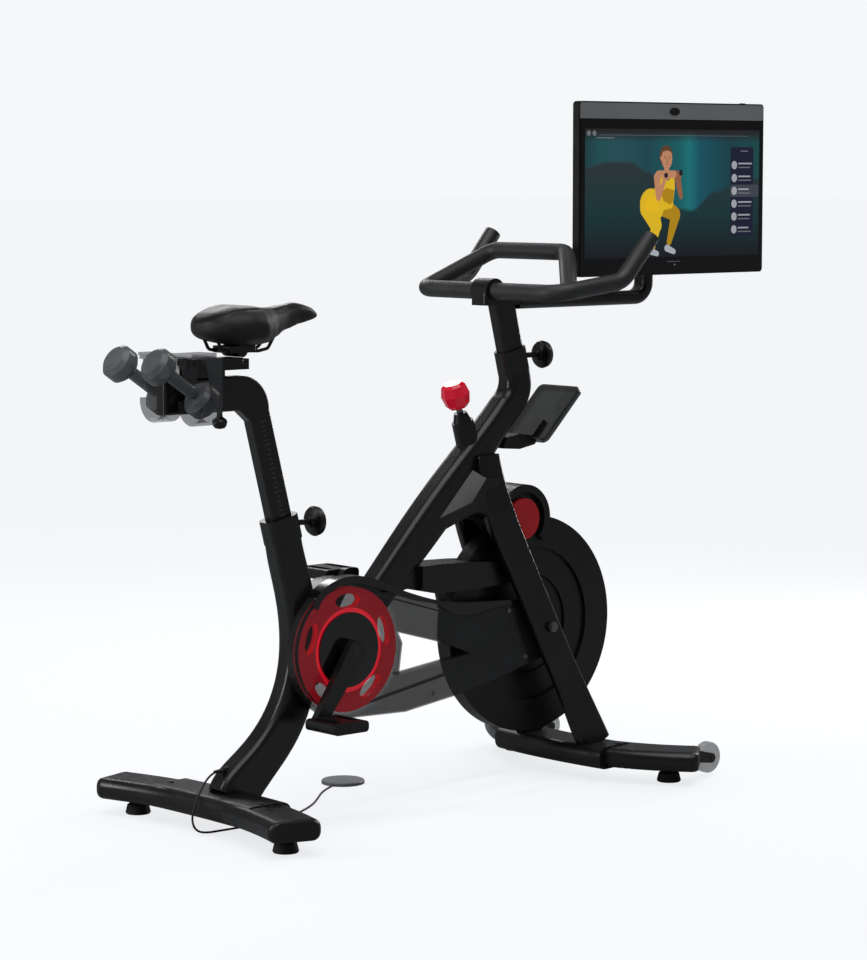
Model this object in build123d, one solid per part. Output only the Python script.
"""Indoor spin bike: every piece is its own solid, written as one STEP file per node.

The bike is drawn with X forward, Y to the rider's left and Z up, from the point on the floor
midway between its four feet. It is written about the middle of its footprint, on the floor.
All sizes are in millimetres.
"""
from build123d import *
import os
from math import acos, atan2, cos, degrees, pi, radians, sin, tan

# ---------------------------------------------------------------- driving dimensions
gap = 0.3                # air between neighbours on different bodies
running = 0.05           # radial clearance of a shaft that turns in a bore
slide_gap = 0.4          # air on each side of a post in its tube

foot_x = 547             # feet from the middle, fore and aft
foot_y = 251             # feet from the middle, sideways
foot_pad_radius = 27
foot_height = 22
stud_radius = 7
bar_low = 32             # underside of the two base bars
bar_high = 77
bar_width = 112          # base bar, fore and aft
bar_half_length = 300    # middle of the bar to its end cap
rear_bar_x = -520
rear_bar_sweep = 46      # how far a rear bar end lies behind its middle
front_bar_x = 455
front_bar_sweep = 112    # how far a front bar end lies ahead of its middle
cap_length = 18
saddle_half_length = 165   # the shell over the middle of a bar
saddle_skin = 2.5

collar_height = 52       # plastic-lined mouths of the seat tube and the head tube

seat_lean = 14.5         # seat tube and seat post lean back, degrees
seat_top_x = -363        # centre of the seat tube's mouth
seat_top_z = 640
seat_post_width = 52
seat_post_depth = 32
seat_insert = 150        # seat post inside its tube at rest
seat_bore_depth = 245
arm_low = 868            # seat arm, the level end of the seat post
arm_high = 940
arm_rear_x = -664

head_lean = 14           # head tube and handlebar post lean back, degrees
head_top_x = 291
head_top_z = 965
head_post_width = 58
head_post_depth = 37
head_insert = 72
head_bore_depth = 118
head_post_rise = 112     # handlebar post above its collar at rest

seat_knob_x = -272       # underside of the seat post's knob
head_knob_x = 383        # underside of the handlebar post's knob
knob_drop = 16           # knob shafts below the mouths of their tubes
knob_shaft_radius = 6
slider_knob_drop = 15    # underside of the slider's knob, below the seat arm

crank_x = -217           # crank axis
crank_z = 352
crank_length = 170
crank_angle = 234.4      # right-hand arm at rest, degrees from +X towards +Z
spindle_radius = 10
shell_radius = 27        # bottom bracket shell
shell_half_width = 24
pulley_radius = 128      # groove of the big pulley
pulley_flange = 133
crank_room_radius = 137  # the frame stays outside this circle about the crank
hub_disc_radius = 80
arm_inner_y = 66         # crank arms, inner faces from the middle
arm_thickness = 17
pedal_length = 96
pedal_width = 92

fly_x = 337              # flywheel axis
fly_z = 351
fly_radius = 242
fly_half_width = 20
fly_recess_radius = 172
fly_web_radius = 112
axle_radius = 8
small_pulley_radius = 36
idler_x = 75
idler_z = 414
idler_radius = 12
belt_y = 41              # middle of the belt, to the right of the middle plane
belt_width = 14
belt_thickness = 2.5

guard_radius = 148
guard_inner_y = 28.5
guard_outer_y = 51
guard_wall = 2

saddle_nose_x = -257
saddle_rear_x = -553
saddle_half_width = 108
pad_low = 1042
pad_high = 1090
shell_low = 1016
saddle_pivot_x = -475    # the saddle tilts about this line
saddle_pivot_z = 992
clamp_radius = 13

bar_tube_radius = 19     # handlebar tube
rear_bar_tube_x = 225
rear_bar_tube_z = 1095
boom_z = 1069            # middle of the monitor boom
boom_top = 1122          # where the upright end of the boom meets the swivel
stem_reach = 40          # the stem's front face, ahead of the post's top
swivel_x = 709
monitor_front_y = -95
monitor_width = 594
monitor_low = 1122.5
monitor_high = 1510
monitor_thickness = 22
monitor_hinge_y = -49    # the monitor tilts about this line
monitor_hinge_z = 1290

rack_x = -612            # middle of the dumbbell cups
rack_y = 65
cup_low = 848
cup_radius = 45
cup_width = 45
cup_skin = 6
rack_plate_z = 990
carriage_top = 978       # top of the carriage that slides on the seat arm
weight_lean = 34         # dumbbells lean up towards the rear, degrees
weight_spacing = 128     # between the middles of a dumbbell's heads
weight_head_radius = 37
weight_head_length = 42

wheel_radius = 35        # transport wheels
wheel_width = 22
wheel_x = 657
wheel_y = 262
wheel_z = 42

knob_base_x = 158         # where the resistance shaft leaves the down tube
knob_base_z = 792
knob_lean = 19
brake_x = 296             # middle of the round brake housing
brake_z = 590
brake_radius = 77
caliper_pivot_x = 254     # the brake's magnet carrier swings about this pin
caliper_pivot_z = 606
caliper_pin_radius = 5

cord_radius = 2.25
jack_x = -513             # mouth of the power jack, at the back of the seat tube
jack_z = 124
jack_radius = 7
jack_length = 44
puck_radius = 48
puck_height = 8
puck_x = -14
puck_y = 213

SIDES = (1, -1)
parts = {}


# ---------------------------------------------------------------- helpers
def plate(outline, y_low, y_high):
    """An outline drawn in X and Z, made solid from y_low to y_high."""
    return extrude(Plane.XZ.offset(-y_high) * outline, amount=y_high - y_low)


def slab(outline, z_low, z_high):
    """An outline drawn in X and Y, made solid from z_low to z_high."""
    return extrude(Plane.XY.offset(z_low) * outline, amount=z_high - z_low)


def disc(x, z, radius, y_low, y_high):
    """A round bar along Y."""
    return plate(Pos(x, z) * Circle(radius), y_low, y_high)


def rod(start, along, radius, length):
    """A round bar from a point along a direction."""
    return extrude(Plane(origin=start, z_dir=along) * Circle(radius), amount=length)


def across(x, y, z, along, width, depth, corner):
    """A rounded rectangle across a tube: width lies in the X-Z plane and depth along Y."""
    tangent = Vector(*along).normalized()
    side = Vector(0, 1, 0).cross(tangent)
    return Plane(origin=(x, y, z), x_dir=side, z_dir=tangent) * RectangleRounded(width, depth, corner)


def box(x_low, x_high, y_low, y_high, z_low, z_high, corner=0):
    """A block between two corners, its upright edges rounded."""
    outline = Rectangle(x_high - x_low, y_high - y_low)
    if corner:
        outline = RectangleRounded(x_high - x_low, y_high - y_low, corner)
    middle = Pos((x_low + x_high) / 2, (y_low + y_high) / 2)
    return slab(middle * outline, z_low, z_high)


def bar_x(y, middle, sweep):
    """Where the middle of a swept base bar lies at a distance from the middle plane."""
    return middle + sweep * (y / bar_half_length) ** 2


def lens(width, height):
    """The flattened oval section of a base bar."""
    return RectangleRounded(width, height, height / 2 - 4)


def pipe(points, radii, radius):
    """A round tube along straight runs joined by arcs."""
    path = FilletPolyline(*points, radius=radii)
    return sweep(Plane(origin=path @ 0, z_dir=path % 0) * Circle(radius), path=path)


def seat_axis(distance, sideways=0):
    """A point on the seat post's axis, measured up from the tube's mouth, then across it."""
    lean = radians(seat_lean)
    x = seat_top_x - distance * sin(lean) + sideways * cos(lean)
    z = seat_top_z + distance * cos(lean) + sideways * sin(lean)
    return x, z


def head_axis(distance, sideways=0):
    """A point on the head tube's axis, measured up from the tube's mouth, then across it."""
    lean = radians(head_lean)
    x = head_top_x - distance * sin(lean) + sideways * cos(lean)
    z = head_top_z + distance * cos(lean) + sideways * sin(lean)
    return x, z


seat_up = (-sin(radians(seat_lean)), 0, cos(radians(seat_lean)))
head_up = (-sin(radians(head_lean)), 0, cos(radians(head_lean)))
knob_up = (-sin(radians(knob_lean)), 0, cos(radians(knob_lean)))


def post_section(axis, up, distance, width, depth, corner):
    """A rounded rectangle across a post at a distance above its tube's mouth."""
    x, z = axis(distance)
    return across(x, 0, z, up, width, depth, corner)


def post_bar(axis, up, low, high, width, depth, corner):
    """A straight rounded bar along a post's axis."""
    return extrude(post_section(axis, up, low, width, depth, corner), amount=high - low)


# ---------------------------------------------------------------- base
def base_bar(middle, sweep_by, grow=0.0, reach=bar_half_length):
    """A swept bar of the flattened oval section, thicker by grow on every side."""
    height = bar_high - bar_low + 2 * grow
    section = lens(bar_width + 2 * grow, height)
    end = (bar_x(reach, middle, sweep_by), reach, (bar_low + bar_high) / 2)
    centre = (middle, 0, (bar_low + bar_high) / 2)
    path = ThreePointArc((end[0], -reach, end[2]), centre, end)
    start = Plane(origin=path @ 0, x_dir=Vector(0, 0, 1).cross(path % 0), z_dir=path % 0)
    return sweep(start * section, path=path)


def end_cap(middle, sweep_by, side):
    """A domed plug that closes one end of a bar, cut as the bar is."""
    y = side * bar_half_length
    x = bar_x(y, middle, sweep_by)
    bend_radius = (bar_half_length ** 2 + sweep_by ** 2) / (2 * sweep_by)
    out = Vector(bar_half_length / bend_radius, side * (1 - sweep_by / bend_radius), 0)
    z = (bar_low + bar_high) / 2
    wide = Vector(0, 0, 1).cross(out)
    height = bar_high - bar_low
    faces = []
    for reach, scale in ((0, 1.0), (cap_length * 0.6, 0.97), (cap_length, 0.86)):
        origin = Vector(x, y, z) + out * reach
        plane = Plane(origin=origin, x_dir=wide, z_dir=out)
        faces.append(plane * lens(bar_width * scale, height * scale))
    return loft(faces)


def make_base():
    """The two base bars, their end caps, the shells over their middles and the screws."""
    rear = base_bar(rear_bar_x, -rear_bar_sweep)
    front = base_bar(front_bar_x, front_bar_sweep)
    caps = []
    for side in SIDES:
        caps.append(end_cap(rear_bar_x, -rear_bar_sweep, side))
        caps.append(end_cap(front_bar_x, front_bar_sweep, side))
    studs = []
    for x in (-foot_x, foot_x):
        for side in SIDES:
            studs.append(rod((x, side * foot_y, bar_low - 5), (0, 0, 1), stud_radius + gap, 30))
    holes = Part() + studs
    rear_shell = base_bar(rear_bar_x, -rear_bar_sweep * (saddle_half_length / bar_half_length) ** 2,
                          saddle_skin, saddle_half_length)
    front_shell = base_bar(front_bar_x, front_bar_sweep * (saddle_half_length / bar_half_length) ** 2,
                           saddle_skin, saddle_half_length)
    parts["rear_bar"] = rear - holes
    brackets = Part() + [wheel_bracket(side) for side in SIDES]
    parts["front_bar"] = front + brackets - holes
    parts["bar_end_caps"] = [cap - brackets for cap in caps]
    return rear, front, rear_shell - rear, front_shell - front


def make_feet():
    """Four levelling feet: a rubber pad moulded on a threaded stud."""
    for x, end in ((-foot_x, "rear"), (foot_x, "front")):
        for side, hand in ((1, "left"), (-1, "right")):
            y = side * foot_y
            profile = Polyline((0, 0), (foot_pad_radius - 2, 0), (foot_pad_radius, 3),
                               (foot_pad_radius - 4, foot_height - 3),
                               (foot_pad_radius - 8, foot_height), (stud_radius, foot_height),
                               (stud_radius, bar_low + 22), (0, bar_low + 22), (0, 0))
            foot = revolve(Plane.XZ * make_face(profile), Axis.Z)
            parts[f"foot_{end}_{hand}"] = Pos(x, y, 0) * foot


def make_transport_wheels():
    """Two small wheels on stub axles behind the front bar's ends."""
    for side, hand in ((1, "left"), (-1, "right")):
        y = side * wheel_y
        tyre = disc(wheel_x, wheel_z, wheel_radius, y - wheel_width / 2, y + wheel_width / 2)
        tyre = fillet(tyre.edges(), 5)
        bore = disc(wheel_x, wheel_z, 5 + running, y - wheel_width, y + wheel_width)
        parts[f"transport_wheel_{hand}"] = tyre - bore


def wheel_bracket(side):
    """A forked ear on the front bar with the stub axle that a transport wheel turns on."""
    y = side * wheel_y
    ears = Part()
    for step in SIDES:
        ear_y = y + step * (wheel_width / 2 + gap + 3)
        outline = make_hull([*(Pos(wheel_x, wheel_z) * Circle(11)).edges(),
                             *(Pos(wheel_x - 66, 54) * Circle(14)).edges()])
        ears += plate(outline, ear_y - 2.5, ear_y + 2.5)
    return ears + disc(wheel_x, wheel_z, 5, y - wheel_width / 2 - 7, y + wheel_width / 2 + 7)


# ---------------------------------------------------------------- frame
def make_rear_upright(rear):
    """The curved seat tube with the boss that holds the bottom bracket, and its collar."""
    stations = (
        (-496, 58, (0.62, 0.78), 96, 58),
        (-424, 130, (0.71, 0.70), 90, 56),
        (-362, 196, (0.62, 0.78), 86, 54),
        (-324, 272, (0.34, 0.94), 82, 54),
        (-310, 350, (0.04, 1.0), 78, 54),
        (-313, 428, (-0.10, 0.99), 76, 54),
        (-329, 505, (-0.22, 0.975), 74, 54),
    )
    faces = [across(x, 0, z, (dx, 0, dz), width, depth, 14) for x, z, (dx, dz), width, depth in stations]
    top_x, top_z = seat_axis(-collar_height)
    faces.append(across(top_x, 0, top_z, seat_up, 72, 52, 14))
    tube = loft(faces)
    boss = plate(make_face(Polyline((-300, 268), (-250, 300), (-205, 322), (-188, 352), (-205, 382),
                                    (-250, 410), (-300, 452), (-330, 400), (-330, 310), (-300, 268))),
                 -shell_half_width, shell_half_width)
    collar = post_bar(seat_axis, seat_up, -collar_height, 0, 77, 56, 17)
    bore = post_bar(seat_axis, seat_up, -seat_bore_depth, 5,
                    seat_post_width + 2 * slide_gap, seat_post_depth + 2 * slide_gap, 6)
    shell = disc(crank_x, crank_z, shell_radius, -60, 60)
    knob_x, knob_z = seat_axis(-knob_drop)
    knob_hole = rod((knob_x, 0, knob_z), (1, 0, 0), knob_shaft_radius + gap, 60)
    jack = rod((jack_x, 0, jack_z), (1, 0, 0), jack_radius, jack_length)
    upright = tube + boss + collar - bore - shell - knob_hole - rear - jack
    parts["rear_upright"] = upright.solids().sort_by(SortBy.VOLUME)[-1]


def arch_curve():
    """The upper edge of the band over the crank, from the seat tube to the fork legs."""
    return ((-318, 452), (-286, 488), (-217, 508), (-150, 498), (-88, 473), (-17, 448), (43, 432),
            (166, 419), (300, 411))


def arch_band(inner, outer, first, last, x=crank_x, z=crank_z):
    """A stretch of a ring between two angles, in degrees from +X towards +Z."""
    def at(radius, turn):
        return x + radius * cos(radians(turn)), z + radius * sin(radians(turn))
    middle = (first + last) / 2
    edges = [
        ThreePointArc(at(outer, first), at(outer, middle), at(outer, last)),
        Line(at(outer, last), at(inner, last)),
        ThreePointArc(at(inner, last), at(inner, middle), at(inner, first)),
        Line(at(inner, first), at(outer, first)),
    ]
    return make_face(Wire(edges))


def make_middle_beam(tubes):
    """The beam that straddles the flywheel, with the lug and stud that hold the idler."""
    outline = make_face(Polyline((-98, 452), (-20, 508), (43, 510), (148, 507), (236, 500), (258, 452),
                                 (150, 446), (43, 446), (-30, 462), (-98, 452)))
    beam = plate(outline, -42, 42)
    slot = disc(fly_x, fly_z, fly_radius + 8, -fly_half_width - 4, fly_half_width + 4)
    belt_room = box(-200, 0, -60, -guard_inner_y + 1.2, 380, 520)
    lug = make_hull([*(Pos(idler_x, idler_z) * Circle(9)).edges(),
                     *(Pos(idler_x - 6, 458) * Circle(14)).edges()])
    stud = plate(lug, -24, -14) + disc(idler_x, idler_z, 4, -48.5, -14)
    body = beam - slot - belt_room + stud - tubes
    parts["middle_beam"] = [solid for solid in body.solids() if solid.volume > 100]


def make_spine():
    """The down tube, from the arch over the crank up to the neck, and the head tube above it."""
    low = [
        across(-124, 0, 432, (0.70, 0, 0.71), 74, 52, 14),
        across(-60, 0, 496, (0.70, 0, 0.71), 76, 56, 14),
        across(64, 0, 620, (0.70, 0, 0.71), 86, 60, 16),
        across(194, 0, 752, (0.68, 0, 0.73), 72, 60, 17),
        across(278, 0, 838, (0.66, 0, 0.75), 66, 58, 18),
    ]
    high = [
        low[-1],
        across(306, 0, 880, (0.15, 0, 0.99), 68, 56, 18),
        post_section(head_axis, head_up, -collar_height, 66, 52, 17),
    ]
    bore = post_bar(head_axis, head_up, -head_bore_depth, 5,
                    head_post_width + 2 * slide_gap, head_post_depth + 2 * slide_gap, 12)
    knob_x, knob_z = head_axis(-knob_drop)
    knob_hole = rod((knob_x, 0, knob_z), (1, 0, 0), knob_shaft_radius + gap, 60)
    collar = post_bar(head_axis, head_up, -collar_height, 0, 70, 50, 18)
    base = Vector(knob_base_x, 0, knob_base_z)
    shaft_hole = rod(tuple(base - Vector(*knob_up) * 150), knob_up, 9, 260)
    arch = plate(arch_band(crank_room_radius, 150, 40, 148), -22, 22)
    crank_room = disc(crank_x, crank_z, crank_room_radius, -60, 60)
    joined = loft(low) - crank_room + arch - shaft_hole - bore - parts["rear_upright"]
    parts["down_tube"] = joined.solids().sort_by(SortBy.VOLUME)[-1]
    parts["head_tube"] = loft(high) + collar - bore - knob_hole
    return loft(low) - crank_room + loft(high) + arch


def make_fork_legs(front, spine):
    """Two legs that straddle the flywheel, from the front bar up to the neck."""
    stations = (
        (464, 100, 76, 78, 30),
        (408, 90, 187, 76, 28),
        (360, 80, 289, 74, 26),
        (330, 75, 352, 74, 26),
        (290, 68, 438, 74, 26),
        (232, 56, 562, 78, 28),
        (199, 44, 664, 72, 30),
        (196, 30, 738, 60, 30),
    )
    hole = disc(fly_x, fly_z, axle_radius, -120, 120)
    faces = []
    for index, (x, y, z, width, depth) in enumerate(stations):
        before = stations[max(index - 1, 0)]
        after = stations[min(index + 1, len(stations) - 1)]
        along = (after[0] - before[0], 0, after[2] - before[2])
        faces.append(across(x, -y, z, along, width, depth, 11))
    near = make_face(Polyline((40, 600), (84, 582), (126, 604), (166, 594), (196, 560), (232, 575),
                              (206, 700), (150, 712), (40, 600)))
    far = make_face(Polyline((128, 640), (150, 622), (170, 612), (186, 602), (202, 580), (232, 575),
                             (206, 690), (170, 690), (128, 640)))
    web = loft([Plane.XZ.offset(22) * near, Plane.XZ.offset(58) * far], ruled=True)
    leg = loft(faces) + web - hole - front - spine
    parts["fork_leg_right"] = leg
    parts["fork_leg_left"] = mirror(leg, about=Plane.XZ)


# ---------------------------------------------------------------- drive
def tangent(first, first_radius, second, second_radius):
    """Where a straight belt run leaves one circle and meets the next.

    A positive radius puts the circle to the right of the run, a negative one to its left.
    """
    dx, dz = second[0] - first[0], second[1] - first[1]
    reach = (dx * dx + dz * dz) ** 0.5
    turn = atan2(dz, dx) + acos((first_radius - second_radius) / reach)
    out = (cos(turn), sin(turn))
    start = (first[0] + first_radius * out[0], first[1] + first_radius * out[1])
    end = (second[0] + second_radius * out[0], second[1] + second_radius * out[1])
    return start, end


def belt_loop(grow):
    """The closed line of the belt: over the big pulley, under the idler, round the small one."""
    crank = ((crank_x, crank_z), pulley_radius + grow)
    idler = ((idler_x, idler_z), -(idler_radius + belt_thickness + 0.3 - grow))
    small = ((fly_x, fly_z), small_pulley_radius + grow)
    stops = [crank, idler, small]
    runs = [tangent(*stops[i], *stops[(i + 1) % 3]) for i in range(3)]
    edges = []
    for index, (centre, radius) in enumerate(stops):
        start, end = runs[index - 1][1], runs[index][0]
        first = atan2(start[1] - centre[1], start[0] - centre[0])
        last = atan2(end[1] - centre[1], end[0] - centre[0])
        turned = (first - last) % (2 * pi) if radius > 0 else -((last - first) % (2 * pi))
        middle = first - turned / 2
        size = abs(radius)
        through = (centre[0] + size * cos(middle), centre[1] + size * sin(middle))
        edges.append(ThreePointArc(start, through, end))
        edges.append(Line(*runs[index]))
    return make_face(Wire(edges))


def make_drive():
    """Crank, pulleys, belt, flywheel and pedals."""
    face_y = -belt_y
    half = belt_width / 2
    belt = plate(belt_loop(belt_thickness + 0.1) - belt_loop(0.1), face_y - half, face_y + half)
    parts["drive_belt"] = belt

    cartridge = disc(crank_x, crank_z, shell_radius, -shell_half_width - 2, shell_half_width + 2)
    cartridge -= disc(crank_x, crank_z, spindle_radius + running, -60, 60)
    parts["bottom_bracket"] = cartridge

    hub = disc(crank_x, crank_z, hub_disc_radius, -belt_y - 14, -belt_y - 8)
    hub += disc(crank_x, crank_z, 22, -arm_inner_y, -belt_y - 8)
    spindle = disc(crank_x, crank_z, spindle_radius, -arm_inner_y - arm_thickness, arm_inner_y + arm_thickness)
    parts["crank_spindle"] = spindle + hub

    pulley = disc(crank_x, crank_z, pulley_radius, face_y - 8, face_y + 8)
    pulley -= disc(crank_x, crank_z, pulley_radius - 7, face_y - 9, face_y + 4)
    pulley += disc(crank_x, crank_z, pulley_flange, face_y - 9.5, face_y - 7.5)
    pulley += disc(crank_x, crank_z, pulley_flange, face_y + 7.5, face_y + 9.5)
    for index in range(5):
        turn = radians(90 + 72 * index)
        middle = (crank_x + 104 * cos(turn), crank_z + 104 * sin(turn))
        window = Pos(*middle) * Rot(0, 0, degrees(turn)) * Ellipse(15, 34)
        pulley -= plate(window, face_y - 12, face_y + 12)
    pulley -= disc(crank_x, crank_z, spindle_radius, -60, 60)
    pulley -= disc(crank_x, crank_z, hub_disc_radius, face_y - 20, face_y - 7.9)
    parts["drive_pulley"] = pulley

    make_cranks()
    make_flywheel()


def make_cranks():
    """Two crank arms opposite each other, and the pedals on their axles."""
    arms = []
    for side, hand in ((-1, "right"), (1, "left")):
        turn = radians(crank_angle if side < 0 else crank_angle + 180)
        tip = (crank_x + crank_length * cos(turn), crank_z + crank_length * sin(turn))
        outline = make_hull([*(Pos(crank_x, crank_z) * Circle(23)).edges(), *(Pos(*tip) * Circle(15)).edges()])
        low = min(side * arm_inner_y, side * (arm_inner_y + arm_thickness))
        arm = plate(outline, low, low + arm_thickness)
        arm -= disc(crank_x, crank_z, spindle_radius, -120, 120)
        outer = arm_inner_y + arm_thickness
        ends = sorted((side * (outer - 3), side * (outer + pedal_length + 4)))
        arm += disc(tip[0], tip[1], 6, ends[0], ends[1])
        arms.append(arm)
        make_pedal(hand, side, tip, outer + 3)
    parts["crank_arms"] = arms


def make_pedal(hand, side, tip, start):
    """A flat pedal: a barrel on the axle inside a cage with raised ends."""
    ends = sorted((side * start, side * (start + pedal_length)))
    outline = Pos(tip[0], tip[1]) * RectangleRounded(pedal_width, 24, 9)
    cage = plate(outline, *ends)
    for step in SIDES:
        middle = (ends[0] + ends[1]) / 2
        gap_x = tip[0] + step * 26
        cage -= box(gap_x - 11, gap_x + 11, middle - 34, middle + 34, tip[1] - 20, tip[1] + 20, 5)
    cage -= disc(tip[0], tip[1], 6 + running, ends[0] - 1, ends[1] + 1)
    parts[f"pedal_{hand}"] = cage


def make_flywheel():
    """The flywheel with its rim, web and small pulley, the fixed axle and the idler."""
    wheel = disc(fly_x, fly_z, fly_radius, -fly_half_width, fly_half_width)
    for side in SIDES:
        for radius, depth in ((fly_recess_radius, 13), (fly_web_radius, 8)):
            low, high = sorted((side * depth, side * (fly_half_width + 1)))
            wheel -= disc(fly_x, fly_z, radius, low, high) - disc(fly_x, fly_z, 50, low, high)
    face_y = -belt_y
    wheel += disc(fly_x, fly_z, small_pulley_radius, face_y - 9, -fly_half_width)
    wheel -= disc(fly_x, fly_z, axle_radius + running, -80, 80)
    parts["flywheel"] = wheel

    axle = disc(fly_x, fly_z, axle_radius, -100, 100)
    for side in SIDES:
        low, high = sorted((side * 90, side * 98))
        axle += plate(Pos(fly_x, fly_z) * RegularPolygon(13, 6), low, high)
    parts["flywheel_axle"] = axle

    idler = disc(idler_x, idler_z, idler_radius, -belt_y - 7.5, -belt_y + 7.5)
    idler -= disc(idler_x, idler_z, 4 + running, -60, 0)
    parts["idler_wheel"] = idler


def make_guard(spine):
    """The smoked belt guard, a thin shell with a three-sided window, and its glossy top rim."""
    ring = Pos(crank_x, crank_z) * Circle(guard_radius)
    tail = make_face(Polyline((crank_x, crank_z + 118), (-88, 464), (-17, 441), (43, 424), (62, 419),
                              (166, 412), (300, 405), (372, 398), (388, 351), (372, 300), (343, 277),
                              (229, 250), (92, 221), (-60, 201), (crank_x + 22, 205), (crank_x, crank_z + 118)))
    window = make_face(Polyline((-80, 376), (-68, 352), (-78, 284), (53, 299), (128, 309), (46, 341),
                                (-80, 376)))
    outline = ring + tail - window
    inner = offset(outline, -guard_wall)
    shell = plate(outline, -guard_outer_y - 3, -guard_inner_y)
    shell -= plate(inner, -guard_outer_y - 3 + guard_wall, -guard_inner_y - guard_wall)
    shell -= disc(crank_x, crank_z, hub_disc_radius + 10, -70, -guard_outer_y + 8)
    shell -= disc(crank_x, crank_z, shell_radius + 4, -60, 0)
    shell -= disc(fly_x, fly_z, small_pulley_radius + 3, -40, 0)
    shell -= disc(fly_x, fly_z, axle_radius + 1, -70, 0)
    shell -= disc(idler_x, idler_z, idler_radius + 2, -50, 0)
    tubes = spine + parts["rear_upright"]
    parts["belt_guard"] = shell - tubes

    top = Spline(*arch_curve())
    bottom = Spline((300, 393), (166, 399), (62, 407), (43, 419), (-17, 436), (-88, 458), (-150, 480),
                    (-217, 492), (-276, 476), (-302, 444))
    rim_outline = make_face(Wire([top, Line(top @ 1, bottom @ 0), bottom, Line(bottom @ 1, top @ 0)]))
    rim = plate(rim_outline, -guard_outer_y - 5, -guard_inner_y + 1.5)
    rim -= plate(outline, -guard_outer_y - 3, 0)
    rim -= disc(idler_x, idler_z, idler_radius + 2, -50, 0)
    legs = parts["fork_leg_left"] + parts["fork_leg_right"]
    parts["guard_rim"] = rim - tubes - legs - parts["middle_beam"]


# ---------------------------------------------------------------- seat
def make_seat_post():
    """The seat post, bent back at its top into the level arm that carries the saddle."""
    front_low = seat_axis(-seat_insert, seat_post_width / 2)
    rear_low = seat_axis(-seat_insert, -seat_post_width / 2)
    lean = tan(radians(seat_lean))
    front_high = (front_low[0] - (arm_low - front_low[1]) * lean, arm_low)
    rear_high_z = arm_low - 24
    rear_high = (rear_low[0] - (rear_high_z - rear_low[1]) * lean, rear_high_z)
    bend = (front_high[0] - 20, arm_high - 22)
    bend_end = (front_high[0] - 72, arm_high)
    edges = [
        Line(rear_low, front_low),
        Line(front_low, front_high),
        ThreePointArc(front_high, bend, bend_end),
        Line(bend_end, (arm_rear_x, arm_high)),
        Line((arm_rear_x, arm_high), (arm_rear_x, arm_low)),
        Line((arm_rear_x, arm_low), (rear_high[0] - 28, arm_low)),
        Line((rear_high[0] - 28, arm_low), rear_high),
        Line(rear_high, rear_low),
    ]
    outline = make_face(Wire(edges))
    post = plate(outline, -seat_post_depth / 2, seat_post_depth / 2)
    post = fillet(post.edges().filter_by(Axis.Y, reverse=True), 6)
    parts["seat_post"] = post


def knob(centre, along, radius, shaft_length, shaft_radius):
    """A mushroom knob whose shaft runs back from its underside."""
    neck = radius * 0.42
    profile = Polyline((0, -shaft_length), (shaft_radius, -shaft_length), (shaft_radius, -12),
                       (neck - 1, -10), (neck, -4), (radius - 3, 0), (radius, 5), (radius - 2, 14),
                       (radius * 0.62, 19), (0, 21), (0, -shaft_length))
    turned = revolve(Plane.XZ * make_face(profile), Axis.Z)
    return Plane(origin=centre, z_dir=along) * turned


def make_knobs():
    """The knobs that lock the seat post, the handlebar post and the saddle's slide."""
    seat_x, seat_z = seat_axis(-knob_drop)
    shaft = seat_knob_x - (seat_x + seat_post_width / 2 + 4)
    parts["seat_post_knob"] = knob((seat_knob_x, 0, seat_z), (1, 0, 0), 32, shaft, knob_shaft_radius)
    head_x, head_z = head_axis(-knob_drop)
    shaft = head_knob_x - (head_x + head_post_width / 2 + 4)
    parts["head_post_knob"] = knob((head_knob_x, 0, head_z), (1, 0, 0), 31, shaft, knob_shaft_radius)
    shaft = slider_knob_drop - gap
    parts["slider_knob"] = knob((-514, 0, arm_low - slider_knob_drop), (0, 0, -1), 16, shaft,
                                knob_shaft_radius)


def make_seat_slider():
    """The carriage on the seat arm, with the moulded rack that holds two dumbbells."""
    low = arm_high + gap
    carriage = box(-600, -515, -24, 24, low, 965, 5)
    carriage += box(-604, -470, -27, 27, 965, carriage_top, 6)
    carriage += box(-515, -450, -20, 20, low + 13, 975, 5)
    parts["seat_slider"] = carriage

    x_low, x_high = rack_x - cup_width / 2, rack_x + cup_width / 2
    plate_low = rack_plate_z - 6
    rack = box(x_low - 6, -606, -rack_y - cup_radius, rack_y + cup_radius, plate_low, rack_plate_z, 6)
    rack += box(rack_x, -540, -30, 30, carriage_top, rack_plate_z, 6)
    rack += box(rack_x, -604.2, -30, 30, 960, rack_plate_z)
    centre_z = cup_low + cup_radius
    for side in SIDES:
        y = side * rack_y
        ring = Pos(y, centre_z) * Circle(cup_radius) - Pos(y, centre_z) * Circle(cup_radius - cup_skin)
        ring -= Pos(y, centre_z + 50) * Rectangle(2 * cup_radius + 4, 100)
        for step in SIDES:
            wall_y = y + step * (cup_radius - cup_skin / 2)
            ring += Pos(wall_y, (centre_z + plate_low) / 2) * Rectangle(cup_skin, plate_low - centre_z)
        rack += extrude(Plane.YZ.offset(x_low) * ring, amount=cup_width)
        strap = make_face(Polyline((x_low - 8, centre_z + 4), (x_high - 24, centre_z + 4),
                                   (x_low + 8, plate_low - 8), (x_low - 8, plate_low - 8),
                                   (x_low - 8, centre_z + 4)))
        rack -= plate(strap, *sorted((side * (rack_y - cup_radius - 1), side * (rack_y + cup_radius + 1))))
    parts["dumbbell_rack"] = rack - carriage


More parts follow.
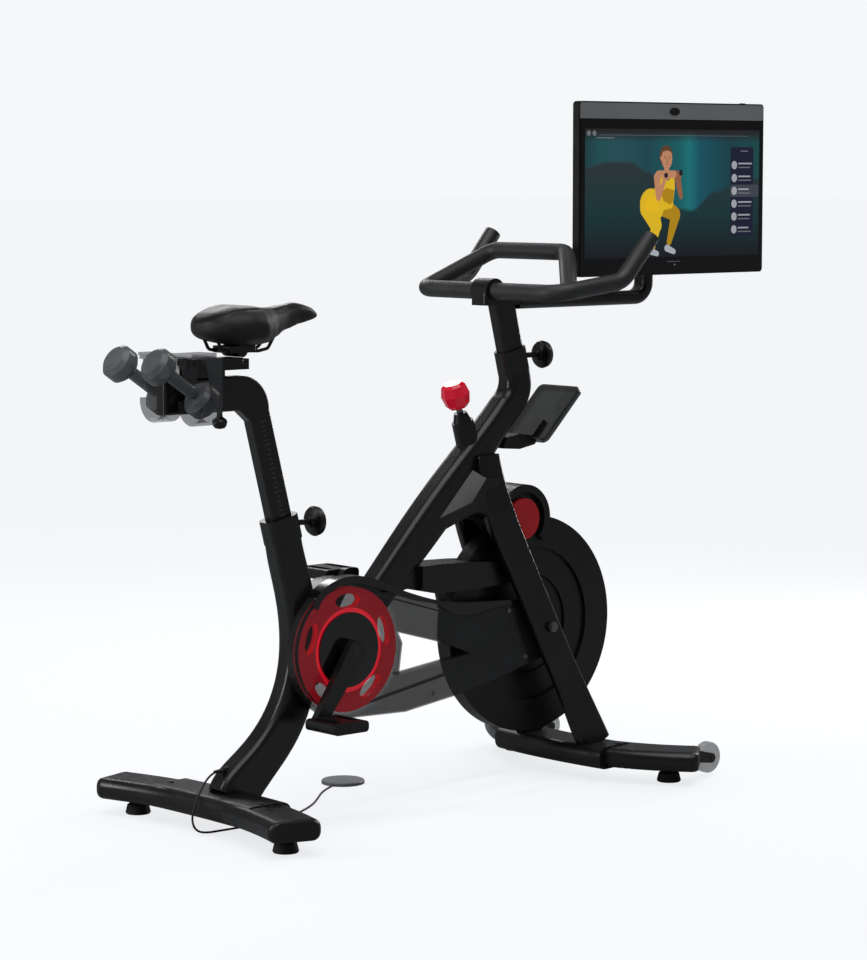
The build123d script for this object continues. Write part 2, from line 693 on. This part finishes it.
def make_dumbbells():
    """Two dumbbells: round heads with softened rims on a handle, leaning up to the rear."""
    lean = radians(weight_lean)
    along = (-cos(lean), 0, sin(lean))
    half = weight_spacing / 2
    for side, hand in ((1, "left"), (-1, "right")):
        edge = weight_head_length / 2
        big, small = weight_head_radius, weight_head_radius - 9
        profile = Polyline((0, -half - edge), (small, -half - edge), (big, -half - edge + 9),
                           (big, -half + edge - 9), (small, -half + edge), (13, -half + edge + 2),
                           (13, half - edge - 2), (small, half - edge), (big, half - edge + 9),
                           (big, half + edge - 9), (small, half + edge), (0, half + edge),
                           (0, -half - edge))
        weight = revolve(Plane.XZ * make_face(profile), Axis.Z)
        front_x = rack_x + 4
        front_z = cup_low + cup_skin + weight_head_radius * cos(lean) + edge * sin(lean) + 2.6
        middle = (front_x - half * cos(lean), side * rack_y, front_z + half * sin(lean))
        parts[f"dumbbell_{hand}"] = Plane(origin=middle, z_dir=along) * weight


def saddle_outline(shrink=0.0):
    """The plan of the saddle: a narrow nose that spreads into two wings."""
    half = saddle_half_width - shrink
    nose = saddle_nose_x - shrink
    rear = saddle_rear_x + shrink
    side = [(nose, 0), (nose - 10, 17 - shrink / 2), (nose - 60, 22 - shrink / 2),
            (nose - 118, 34 - shrink), (nose - 165, 66 - shrink), (nose - 215, half - 4),
            (nose - 252, half), (rear + 8, half - 34), (rear + 2, 38), (rear + 12, 0)]
    other = [(x, -y) for x, y in side[-2:0:-1]]
    return make_face(Spline(*side, *other, periodic=True))


def make_saddle():
    """The tilting clamp, the two rails, the saddle's shell and its pad."""
    clamp = box(-510, -440, -30, 30, 988, 1002, 5)
    clamp += disc(saddle_pivot_x, saddle_pivot_z, clamp_radius, -28, 28)
    rails = []
    rail_radius = 3.5
    for side in SIDES:
        y = side * 22
        points = [(-540, y, shell_low + 9), (-524, y, 994), (-430, y, 990), (-402, y * 0.8, 994),
                  (-376, y * 0.5, shell_low + 9)]
        rails.append(pipe(points, [12, 30, 14], rail_radius))
    parts["saddle_rails"] = rails
    both = Part() + rails
    parts["saddle_clamp"] = clamp - both
    low = [Plane.XY.offset(z) * saddle_outline(shrink) for z, shrink in ((shell_low, 16), (pad_low, 7))]
    nose_cut = box(-352, -200, -60, 60, shell_low - 4, shell_low + 12)
    parts["saddle_shell"] = loft(low) - both - nose_cut
    levels = ((pad_low, 6), (pad_low + 14, 0), (pad_high - 12, 2), (pad_high, 12))
    parts["saddle_pad"] = loft([Plane.XY.offset(z) * saddle_outline(shrink) for z, shrink in levels])


# ---------------------------------------------------------------- front end
def make_head_post():
    """The handlebar post with the stem that clamps the bar."""
    post = post_bar(head_axis, head_up, -head_insert, head_post_rise, head_post_width, head_post_depth, 11)
    top_x = head_axis(head_post_rise)[0]
    clamp_block = box(rear_bar_tube_x - 28, top_x + stem_reach, -26, 26, 1064, 1092, 9)
    clamp = disc(rear_bar_tube_x, rear_bar_tube_z, bar_tube_radius + 9, -26, 26)
    bar_hole = disc(rear_bar_tube_x, rear_bar_tube_z, bar_tube_radius, -40, 40)
    parts["head_post"] = post + clamp_block + clamp - bar_hole


def make_handlebar():
    """The bent handlebar: a rear bar with two horns, and a raised loop inside them."""
    r = bar_tube_radius
    x, z = rear_bar_tube_x, rear_bar_tube_z
    outer = [(474, 256, 1215), (390, 252, 1119), (x, 224, z), (x, -224, z), (390, -252, 1119),
             (474, -256, 1215)]
    loop = [(x + 28, 229, z + 4), (351, 118, 1180), (351, -118, 1180), (x + 28, -229, z + 4)]
    bar = pipe(outer, [60, 50, 50, 60], r)
    inner = pipe(loop, [46, 46], r - 0.5)
    parts["handlebar"] = bar + inner


def make_monitor():
    """The boom, the swivel post and the monitor, turned to face the side."""
    top_x = head_axis(head_post_rise)[0]
    start = top_x + stem_reach
    path = FilletPolyline((start, 0, boom_z), (swivel_x, 0, boom_z), (swivel_x, 0, boom_top), radius=38)
    section = Plane(origin=path @ 0, x_dir=(0, 1, 0), z_dir=path % 0) * RectangleRounded(44, 31, 12)
    boom = sweep(section, path=path)
    parts["monitor_boom"] = boom

    swivel = rod((swivel_x, 0, boom_top + gap), (0, 0, 1), 20, 190)
    swivel += box(swivel_x - 30, swivel_x + 30, -40, 0, 1268, 1312, 5)
    hinge_y, hinge_z = monitor_hinge_y, monitor_hinge_z
    swivel -= box(swivel_x - 70, swivel_x + 70, -60, hinge_y + 18, 1200, 1400)
    swivel += box(swivel_x - 12, swivel_x + 12, hinge_y, -20, 1276, 1304)
    swivel += rod((swivel_x - 12, hinge_y, hinge_z), (1, 0, 0), 14, 24)
    swivel += rod((swivel_x - 34, hinge_y, hinge_z), (1, 0, 0), 5, 68)
    parts["monitor_swivel"] = swivel

    left, right = swivel_x - monitor_width / 2, swivel_x + monitor_width / 2
    back_y = monitor_front_y + monitor_thickness
    outline = Pos(swivel_x, (monitor_low + monitor_high) / 2)
    outline *= RectangleRounded(monitor_width, monitor_high - monitor_low, 9)
    shell = plate(outline, monitor_front_y + 2, back_y)
    glass_space = Pos(swivel_x, (monitor_low + monitor_high) / 2)
    glass_space *= RectangleRounded(monitor_width - 6, monitor_high - monitor_low - 6, 6)
    shell -= plate(glass_space, monitor_front_y - 1, monitor_front_y + 5)
    bulge = box(swivel_x - 90, swivel_x + 90, back_y - 1, back_y + 9, 1210, 1370)
    ears = Part()
    for step in SIDES:
        low, high = sorted((swivel_x + step * 16, swivel_x + step * 30))
        ears += box(low, high, back_y + 8, hinge_y, 1276, 1304)
        ears += rod((low, hinge_y, hinge_z), (1, 0, 0), 14, high - low)
    pin_hole = rod((swivel_x - 60, hinge_y, hinge_z), (1, 0, 0), 5 + running, 120)
    button_x = right - 60
    button_hole = box(button_x - 9.3, button_x + 9.3, back_y - 12, back_y - 5.4, monitor_high - 4, monitor_high + 4)
    parts["monitor_shell"] = shell + bulge + ears - pin_hole - button_hole
    strip_low = monitor_high - 38
    glass = plate(glass_space, monitor_front_y, monitor_front_y + 5)
    cut = box(left - 5, right + 5, monitor_front_y - 5, monitor_front_y + 9, strip_low, monitor_high + 5)
    parts["monitor_glass"] = glass - cut
    parts["monitor_strip"] = glass & cut
    parts["power_button"] = box(button_x - 9, button_x + 9, back_y - 11.7, back_y - 5.7,
                                monitor_high - 2.4, monitor_high + 1.6, 2.5)


def make_resistance(spine):
    """The red resistance knob, its shaft and boss, the magnetic brake below and its motor."""
    base = Vector(knob_base_x, 0, knob_base_z)
    up = Vector(*knob_up)
    boss = loft([Plane(origin=base - up * 42, z_dir=knob_up) * Circle(27),
                 Plane(origin=base + up * 22, z_dir=knob_up) * Circle(24)])
    boss += loft([Plane(origin=base + up * 22, z_dir=knob_up) * Circle(20),
                  Plane(origin=base + up * 42, z_dir=knob_up) * Circle(14)])
    boss -= rod(tuple(base - up * 60), knob_up, 7 + running, 140)
    parts["knob_boss"] = boss - spine
    shaft = rod(tuple(base - up * 96), knob_up, 7, 150)
    parts["resistance_shaft"] = shaft
    head = base + up * (54.0 + gap)
    faces = []
    for height, size in ((0, 20), (8, 27), (30, 32), (50, 27), (56, 21)):
        faces.append(Plane(origin=head + up * height, z_dir=knob_up) * RegularPolygon(size, 8))
    grip = loft(faces, ruled=True)
    parts["resistance_knob"] = grip

    cover = arch_band(brake_radius - 17, brake_radius, -42, 150, brake_x, brake_z)
    cheeks = disc(brake_x, brake_z, brake_radius - 2, -34, -31) + disc(brake_x, brake_z, brake_radius - 2, 31, 34)
    slot = disc(fly_x, fly_z, fly_radius + 5, -fly_half_width - 5, fly_half_width + 5)
    legs = parts["fork_leg_left"] + parts["fork_leg_right"]
    housing = plate(cover, -46, 46) + cheeks - slot - legs - spine
    housing += disc(caliper_pivot_x, caliper_pivot_z, caliper_pin_radius, -34, 34)
    parts["brake_housing"] = housing.solids().sort_by(SortBy.VOLUME)[-1]
    motors = []
    for side in SIDES:
        low, high = sorted((side * 34, side * 44))
        motors.append(disc(brake_x, brake_z, 46, low, high) - legs - spine)
    parts["brake_motor"] = motors
    arms = make_face(Polyline((242, 598), (250, 622), (286, 622), (326, 618), (344, 598), (344, 572),
                              (300, 564), (262, 574), (242, 598)))
    caliper = plate(arms, -30, 30)
    caliper -= disc(fly_x, fly_z, fly_radius + 12, -fly_half_width - 4, fly_half_width + 4)
    caliper -= disc(caliper_pivot_x, caliper_pivot_z, caliper_pin_radius + running, -60, 60)
    parts["brake_caliper"] = caliper


def make_tray(spine):
    """The smoked tray for a phone in front of the head tube, and its black bracket."""
    centre = Vector(396, 0, 816)
    plane = Plane(origin=centre, x_dir=(1, 0, 1), z_dir=(1, 0, -1))
    panel = extrude(plane * RectangleRounded(158, 132, 14), amount=4)
    rim = extrude(plane * (RectangleRounded(158, 132, 14) - RectangleRounded(150, 124, 10)), amount=-8)
    parts["device_tray"] = panel + rim
    outline = make_face(Polyline((262, 772), (300, 778), (338, 772), (372, 806), (386, 798), (346, 752),
                                 (300, 744), (250, 748), (262, 772)))
    parts["tray_bracket"] = plate(outline, -24, 24) - panel - rim - spine


# ---------------------------------------------------------------- cord
def make_cord():
    """The mains lead from the jack on the seat tube, round the rear bar, to the floor puck."""
    floor = cord_radius + 0.3
    route = [(jack_x, 0, jack_z), (-531, 0, 124), (-549, -1, 116), (-565, -3, 101), (-579, -5, 82),
             (-592, -7, 58), (-600, -9, 34), (-593, -11, 12), (-570, -12, floor), (-520, -14, floor),
             (-466, -16, floor), (-410, -12, floor), (-355, -1, floor), (-303, 16, floor),
             (-256, 41, floor), (-212, 72, floor), (-172, 108, floor), (-135, 143, floor),
             (-98, 172, floor), (-59, 194, floor)]
    points = [Vector(*point) for point in route]
    radii = []
    for before, here, after in zip(points, points[1:], points[2:]):
        half_turn = (here - before).get_angle(after - here) / 2
        shorter = min((here - before).length, (after - here).length)
        radii.append(0.45 * shorter / tan(radians(half_turn)))
    print("cord radii", [round(radius, 1) for radius in radii])
    parts["power_cord"] = pipe(route, radii, cord_radius)
    print("cord length", round(FilletPolyline(*route, radius=radii).length, 1))
    puck = slab(Pos(puck_x, puck_y) * Circle(puck_radius), 0, puck_height)
    parts["floor_puck"] = chamfer(puck.edges().group_by(Axis.Z)[-1], 2)
    parts["power_jack"] = rod((jack_x, 0, jack_z), (1, 0, 0), jack_radius, jack_length)


def make_screws():
    """Round-headed screws that hold the bar shells and the belt guard."""
    screws = []
    for middle, sweep_by in ((rear_bar_x, -rear_bar_sweep), (front_bar_x, front_bar_sweep)):
        for side in SIDES:
            y = side * (saddle_half_length - 12)
            x = bar_x(y, middle, sweep_by)
            screws.append(rod((x, y, bar_high + saddle_skin), (0, 0, 1), 6, 3))
    for x, z in ((20, 232), (240, 392), (290, 285)):
        screws.append(rod((x, -guard_outer_y - 3, z), (0, -1, 0), 5, 2.5))
    parts["frame_screws"] = screws


# ---------------------------------------------------------------- assembly
rear, front, rear_shell, front_shell = make_base()
make_feet()
make_transport_wheels()
make_rear_upright(rear + rear_shell)
spine = make_spine()
make_fork_legs(front + front_shell, spine)
legs = Part() + [parts["fork_leg_left"], parts["fork_leg_right"]]
make_middle_beam(parts["rear_upright"] + spine + legs)
make_drive()
make_guard(spine)
make_seat_post()
make_knobs()
make_seat_slider()
make_dumbbells()
make_saddle()
make_head_post()
make_handlebar()
make_monitor()
make_resistance(spine)
make_tray(spine)
make_cord()
parts["bar_saddles"] = [rear_shell - parts["rear_upright"],
                        front_shell - parts["fork_leg_left"] - parts["fork_leg_right"]]
make_screws()

solids = {}
for name, piece in parts.items():
    pieces = piece if isinstance(piece, list) else [piece]
    solids[name] = [solid for item in pieces for solid in item.solids()]

# The origin is the middle of the whole bike's footprint, on the floor.
boxes = [solid.bounding_box() for group in solids.values() for solid in group]
shift_x = -(min(b.min.X for b in boxes) + max(b.max.X for b in boxes)) / 2
print("the drawing's feet lie about X =", round(shift_x, 4), "in the written frame")

os.makedirs("parts", exist_ok=True)
for name, group in solids.items():
    moved = [Pos(shift_x, 0, 0) * solid for solid in group]
    export_step(moved[0] if len(moved) == 1 else Compound(children=moved), f"parts/{name}.step")
    print(name, len(moved), "solid(s)", [round(solid.volume) for solid in moved])
